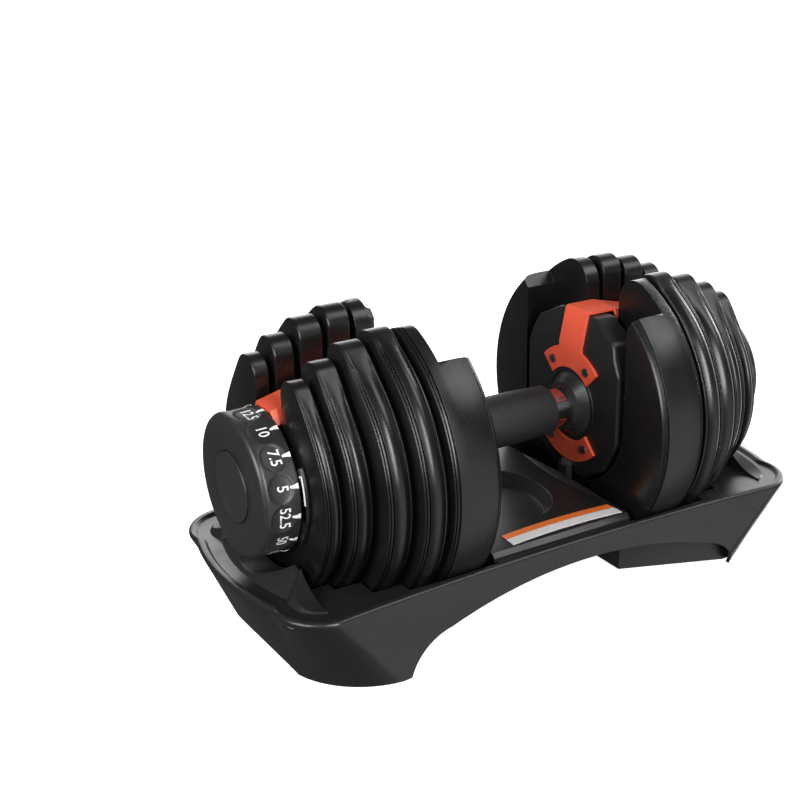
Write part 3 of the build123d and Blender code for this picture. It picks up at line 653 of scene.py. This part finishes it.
# ---- camera, light and floor -----------------------------------------------------------
def make_camera():
    """Three-quarter view from above, past the front of the left dial."""
    back = Vector((math.sin(AZIMUTH) * math.cos(ELEVATION), -math.cos(AZIMUTH) * math.cos(ELEVATION),
                   math.sin(ELEVATION)))
    data = bpy.data.cameras.new("camera")
    data.sensor_width = SENSOR_WIDTH
    data.lens = FOCAL * SENSOR_WIDTH
    data.shift_x, data.shift_y = SHIFT
    camera = bpy.data.objects.new("camera", data)
    bpy.context.scene.collection.objects.link(camera)
    camera.location = Vector(TARGET) + back * DISTANCE
    camera.rotation_mode = "QUATERNION"
    camera.rotation_quaternion = (-back).to_track_quat("-Z", "Y")
    bpy.context.scene.camera = camera


def area_light(name, position, size, power):
    """Rectangular white softbox that points at the dumbbell's middle."""
    data = bpy.data.lights.new(name, "AREA")
    data.shape = "RECTANGLE"
    data.size, data.size_y = size
    data.energy = power
    lamp = bpy.data.objects.new(name, data)
    bpy.context.scene.collection.objects.link(lamp)
    lamp.location = position
    lamp.rotation_mode = "QUATERNION"
    lamp.rotation_quaternion = (Vector((0.0, 0.0, AXIS_Z)) - Vector(position)).to_track_quat("-Z", "Y")


def world_lobe(tree, direction, low, high, strength):
    """Soft bright patch of the studio's walls round a direction."""
    coords = tree.nodes.new("ShaderNodeTexCoord").outputs["Generated"]
    facing = tree.nodes.new("ShaderNodeVectorMath")
    facing.operation = "DOT_PRODUCT"
    tree.links.new(coords, facing.inputs[0])
    facing.inputs[1].default_value = Vector(direction).normalized()
    lobe = tree.nodes.new("ShaderNodeMapRange")
    lobe.interpolation_type = "SMOOTHSTEP"
    tree.links.new(facing.outputs["Value"], lobe.inputs["Value"])
    for key, value in (("From Min", low), ("From Max", high), ("To Min", 0.0), ("To Max", strength)):
        lobe.inputs[key].default_value = value
    return lobe.outputs["Result"]


def add_up(tree, *values):
    """Sum of sockets and plain numbers, as a socket."""
    total = values[0]
    for value in values[1:]:
        add = tree.nodes.new("ShaderNodeMath")
        tree.links.new(total, add.inputs[0])
        if isinstance(value, float):
            add.inputs[1].default_value = value
        else:
            tree.links.new(value, add.inputs[1])
        total = add.outputs[0]
    return total


def make_world():
    """White to the camera; reflections show a dim room, brighter at the back right and low in front."""
    room_level = 0.10
    world = bpy.data.worlds.new("studio")
    world.use_nodes = True
    tree = world.node_tree
    behind = world_lobe(tree, (0.80, 0.60, -0.03), low=0.72, high=0.94, strength=3.2)
    low_front = world_lobe(tree, (0.42, -0.80, -0.42), low=0.70, high=0.98, strength=0.75)
    seen = tree.nodes.new("ShaderNodeLightPath").outputs["Is Camera Ray"]
    level = tree.nodes.new("ShaderNodeMapRange")
    tree.links.new(seen, level.inputs["Value"])
    tree.links.new(add_up(tree, behind, low_front, room_level), level.inputs["To Min"])
    level.inputs["To Max"].default_value = 1.0
    tree.nodes["Background"].inputs["Color"].default_value = (1, 1, 1, 1)
    tree.links.new(level.outputs["Result"], tree.nodes["Background"].inputs["Strength"])
    bpy.context.scene.world = world


def make_studio():
    """A soft key high at the front right, a strip in front, a broad fill at the left, edge lights behind."""
    area_light("key_softbox", (1.05, -0.80, 1.65), size=(1.0, 1.0), power=12.0)
    area_light("front_strip", (-0.30, -1.95, 0.95), size=(0.55, 1.3), power=40.0)
    area_light("right_strip", (2.1, 0.30, 0.9), size=(0.20, 1.2), power=10.0)
    area_light("back_softbox", (0.2, 1.9, 1.1), size=(1.2, 0.5), power=9.0)
    area_light("left_fill", (-1.9, -0.55, 0.9), size=(1.3, 1.1), power=46.0)
    make_world()


def make_floor():
    """Plain white paper floor, which the object doesn't reflect."""
    size, glow = 60, 0.88
    bpy.ops.mesh.primitive_grid_add(x_subdivisions=8, y_subdivisions=8, size=size)
    floor = bpy.context.object
    floor.name = "floor"
    n = Nodes("floor_paper")
    colour = n.mix(n.spread(n.noise(3.0), 0.3, 0.7, 0, 1), grey(0.90), grey(0.93))
    paper = n.set(Base_Color=colour, Roughness=0.9, Emission_Color=(1, 1, 1, 1), Emission_Strength=glow)
    floor.data.materials.append(paper)
    floor.visible_glossy = False
    floor.visible_diffuse = False


dress_cad_nodes()
make_dials()
make_covers()
make_deck_lips()
make_camera()
make_studio()
make_floor()
bpy.context.scene.view_settings.view_transform = "Standard"
